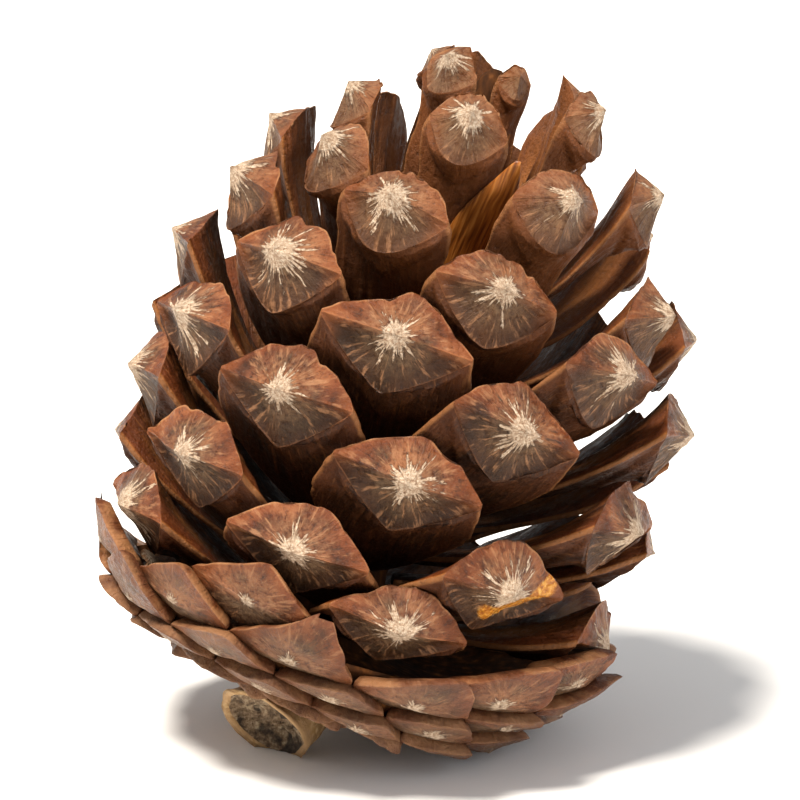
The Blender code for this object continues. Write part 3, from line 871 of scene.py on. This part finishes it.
# Dry wing tissue: golden amber with darker veins along it, slightly glossy.
wing_film, tree, shader = new_material("seed_wing_amber_film")
place = add(tree, "Attribute", attribute_name="grain").outputs["Vector"]
veins = add(tree, "Mapping", {"Vector": place, "Scale": (3.4, 0.22, 1.0)}).outputs[0]
vein = add(tree, "TexNoise", {"Vector": veins, "Scale": 1.0, "Detail": 3.0}).outputs[0]
film = add(tree, "ValToRGB", {0: vein}, stops=((0.32, "#5e2f0f"), (0.52, "#96561c"), (0.7, "#b9793a")))
tree.links.new(film.outputs[0], shader.inputs["Base Color"])
shader.inputs["Roughness"].default_value = 0.42
shader.inputs["Specular IOR Level"].default_value = 0.3
dent = add(tree, "Bump", {"Height": vein, "Distance": 0.0002, "Strength": 0.8})
tree.links.new(dent.outputs[0], shader.inputs["Normal"])

t = np.linspace(0.0, 1.0, WING_ROWS)[:, None]
s = np.linspace(-1.0, 1.0, WING_COLUMNS)[None, :]
half = WING_HALF_WIDTH * np.sin(math.pi * (0.12 + 0.86 * t)) ** 0.8 * (1.0 - 0.35 * t)
aside = s * half + 0.9 * t ** 2
reach = 8.0 + 8.4 * t - 0.35 * s ** 2 * half
height = np.broadcast_to(40.5 + 15.0 * t, reach.shape)
sheet = np.stack((reach, aside, height), axis=2)
sheet += 0.25 * lumps(sheet, 2.0, 51)[..., None] * (1.0, 0.3, 0.0)
direction = math.radians(azimuth(WING_SCALE) + WING_ASIDE)
ahead = np.array((math.sin(direction), -math.cos(direction), 0.0))
beside = np.array((math.cos(direction), math.sin(direction), 0.0))
sides = []
for offset in (0.11, -0.11):
    sides.append((sheet[..., 0:1] + offset) * ahead + sheet[..., 1:2] * beside
                 + sheet[..., 2:3] * np.array((0.0, 0.0, 1.0)))
count = WING_ROWS * WING_COLUMNS
faces = []
for row in range(WING_ROWS - 1):
    for k in range(WING_COLUMNS - 1):
        base = row * WING_COLUMNS + k
        quad = (base, base + 1, base + WING_COLUMNS + 1, base + WING_COLUMNS)
        faces.append(quad)
        faces.append(tuple(corner + count for corner in reversed(quad)))
border = list(range(WING_COLUMNS))
border += [row * WING_COLUMNS + WING_COLUMNS - 1 for row in range(1, WING_ROWS)]
border += [(WING_ROWS - 1) * WING_COLUMNS + k for k in range(WING_COLUMNS - 2, -1, -1)]
border += [row * WING_COLUMNS for row in range(WING_ROWS - 2, 0, -1)]
for one, two in zip(border, border[1:] + border[:1]):
    faces.append((one, two, two + count, one + count))
points = np.concatenate([side.reshape(-1, 3) for side in sides])
grain = np.stack((aside, height - 40.5, np.zeros(aside.shape)), axis=2).reshape(-1, 3)
make_piece("seed_wing", points, faces, [wing_film], None, {"grain": np.concatenate((grain, grain))})


# ---------------------------------------------------------------------------------------------
# Studio. A pale floor, soft light from the upper left, and a camera a little above the cone.
# ---------------------------------------------------------------------------------------------

floor_mesh = bpy.data.meshes.new("floor")
floor_mesh.from_pydata([(-3, -3, 0), (3, -3, 0), (3, 3, 0), (-3, 3, 0)], [], [(0, 1, 2, 3)])
floor = bpy.data.objects.new("floor", floor_mesh)
bpy.context.scene.collection.objects.link(floor)
paper, tree, shader = new_material("matt_white_paper")
shader.inputs["Base Color"].default_value = linear("#f4f3f1")
shader.inputs["Roughness"].default_value = 0.9
floor_mesh.materials.append(paper)

world = bpy.data.worlds.new("soft_box")
world.use_nodes = True
sky = world.node_tree.nodes["Background"]
sky.inputs["Color"].default_value = linear("#ffffff")
sky.inputs["Strength"].default_value = 0.5
bpy.context.scene.world = world


def soft_light(name, kind, position, size, power, colour):
    """Studio light aimed at the cone."""
    lamp = bpy.data.lights.new(name, kind)
    if kind == "SUN":
        lamp.angle = size
    else:
        lamp.size = size
    lamp.energy = power
    lamp.color = linear(colour)[:3]
    holder = bpy.data.objects.new(name, lamp)
    bpy.context.scene.collection.objects.link(holder)
    holder.location = position
    aim = Vector((0.0, 0.0, 0.035)) - Vector(position)
    holder.rotation_mode = "QUATERNION"
    holder.rotation_quaternion = aim.to_track_quat("-Z", "Y")


soft_light("key", "SUN", (-0.2, -0.2, 0.66), math.radians(16.0), 7.0, "#fff8ee")
soft_light("fill", "AREA", (0.5, -0.45, 0.3), 0.5, 1.6, "#f4f7ff")

CAMERA_ELEVATION = 14.0
CAMERA_DISTANCE = 0.42
eye = bpy.data.cameras.new("eye")
eye.lens = 190.0
eye.clip_start = 0.01
camera = bpy.data.objects.new("eye", eye)
bpy.context.scene.collection.objects.link(camera)
aim_at = Vector(((cad_low.x + cad_high.x) / 2, (cad_low.y + cad_high.y) / 2, 0.0345))
tip = math.radians(CAMERA_ELEVATION)
back = Vector((0.0, -math.cos(tip), math.sin(tip)))
camera.location = aim_at + back * CAMERA_DISTANCE
camera.rotation_mode = "QUATERNION"
camera.rotation_quaternion = (-back).to_track_quat("-Z", "Y")
bpy.context.scene.camera = camera
bpy.context.scene.view_settings.view_transform = "Standard"

bpy.context.view_layer.update()
